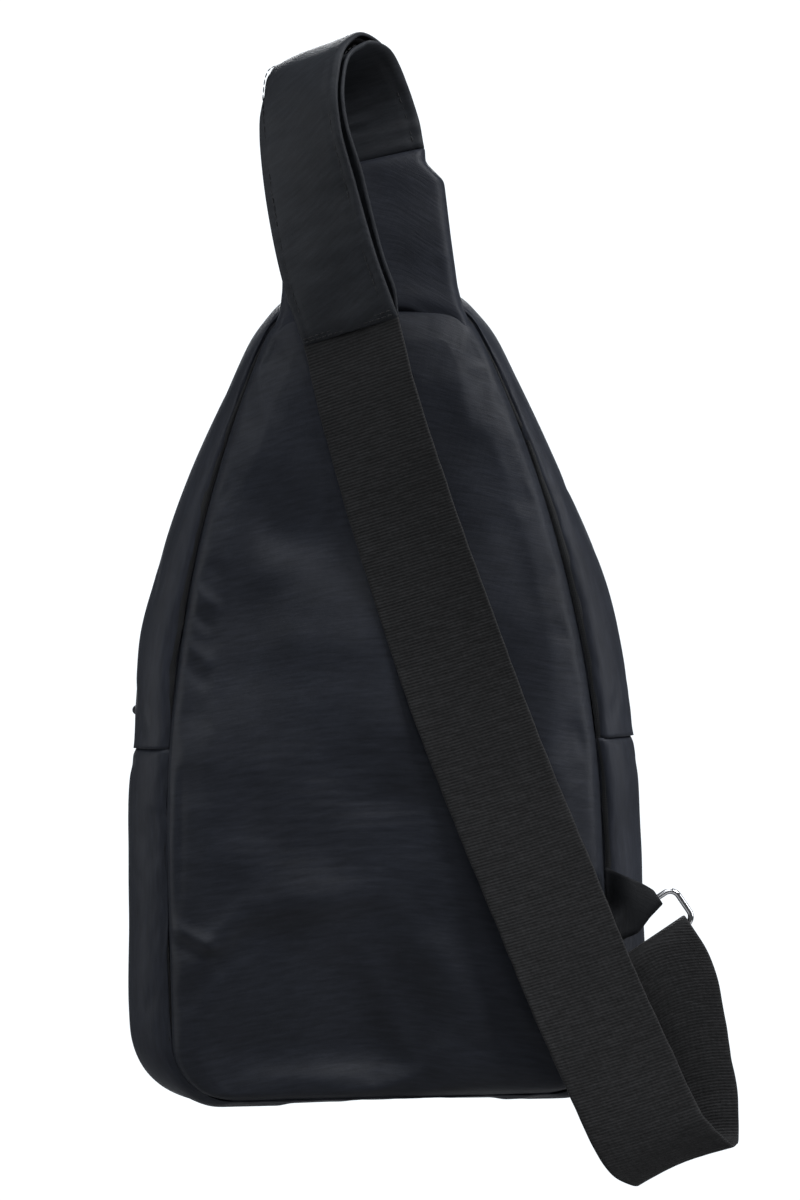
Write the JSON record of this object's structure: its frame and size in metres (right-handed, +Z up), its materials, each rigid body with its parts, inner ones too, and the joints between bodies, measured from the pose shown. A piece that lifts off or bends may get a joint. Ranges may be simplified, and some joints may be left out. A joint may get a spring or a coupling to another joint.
{
  "type": "sling bag",
  "caption": "Teardrop sling bag seen from its back panel: one padded shoulder strap over the top, webbing down to a ring and tab, zipped main space and front pocket.",
  "frame": {"origin": "on the inside of the strap's top fold, where a hook or peg bears", "axes": "+X towards the side where the webbing ends at the ring, +Y from the wearer's back to the front pocket, +Z up along the bag"},
  "size_m": [0.2435, 0.1199, 0.4656],
  "materials": {
    "shell": "plain-woven nylon, soft sheen",
    "back_cover": "plain-woven nylon, soft sheen",
    "pad_cover": "plain-woven nylon, soft sheen",
    "webbing": "ribbed webbing, matte",
    "foam": "closed-cell foam",
    "lining": "thin lining cloth",
    "binding": "grosgrain tape",
    "zip_tape": "woven zip tape",
    "zip_coil": "moulded nylon coil",
    "zip_metal": "black satin",
    "ring_metal": "polished"
  },
  "bodies": {
    "bag": {"back_panel_cover": "back_cover", "back_panel_foam": "foam", "back_panel_lining": "lining", "back_seam_binding": "binding", "lower_gusset": "shell", "rear_zip_gusset": "shell", "front_zip_gusset": "shell", "gusset_lining": "lining", "front_panel_lower": "shell", "front_panel_upper": "shell", "front_pocket_backing": "lining", "front_panel_lining": "lining", "front_seam_binding": "binding", "main_zip_rear_tape": "zip_tape", "main_zip_front_tape": "zip_tape", "main_zip_rear_coil": "zip_coil", "main_zip_front_coil": "zip_coil", "main_zip_end_tabs": "shell", "front_zip_lower_tape": "zip_tape", "front_zip_upper_tape": "zip_tape", "front_zip_lower_coil": "zip_coil", "front_zip_upper_coil": "zip_coil", "front_zip_end_stops": "zip_metal", "yoke_rear_cover": "shell", "yoke_foam": "foam", "yoke_front_cover": "shell", "strap_pad_outer_cover": "pad_cover", "strap_pad_foam": "foam", "strap_pad_inner_cover": "pad_cover", "strap_webbing": "webbing", "ring_tab": "shell"},
    "ring": {"strap_ring": "ring_metal"},
    "main_slider": {"main_zip_slider": "zip_metal"},
    "main_pull": {"main_zip_pull": "zip_metal"},
    "front_slider": {"front_zip_slider": "zip_metal"},
    "front_pull": {"front_zip_pull": "zip_metal"}
  },
  "joints": [
    {"name": "ring_swing", "type": "hinge", "parent": "bag", "child": "ring", "pos_m": [0.11234, 0.0035, -0.34496], "axis": [0.8434, 0, 0.5373], "range_deg": [-4, 4]},
    {"name": "main_zip_travel", "type": "hinge", "parent": "bag", "child": "main_slider", "pos_m": [0.2885, 0.058, -0.306], "axis": [0, 1, 0], "range_deg": [0, 24]},
    {"name": "main_pull_swing", "type": "hinge", "parent": "main_slider", "child": "main_pull", "pos_m": [-0.08393, 0.058, -0.25727], "axis": [0, 1, 0], "range_deg": [0, 165]},
    {"name": "front_zip_travel", "type": "slide", "parent": "bag", "child": "front_slider", "axis": [-1, 0, 0], "range_m": [0, 0.128]},
    {"name": "front_pull_swing", "type": "hinge", "parent": "front_slider", "child": "front_pull", "pos_m": [0.0825, 0.08685, -0.21094], "axis": [0, 0.0515, -0.9987], "range_deg": [0, 170]}
  ]
}
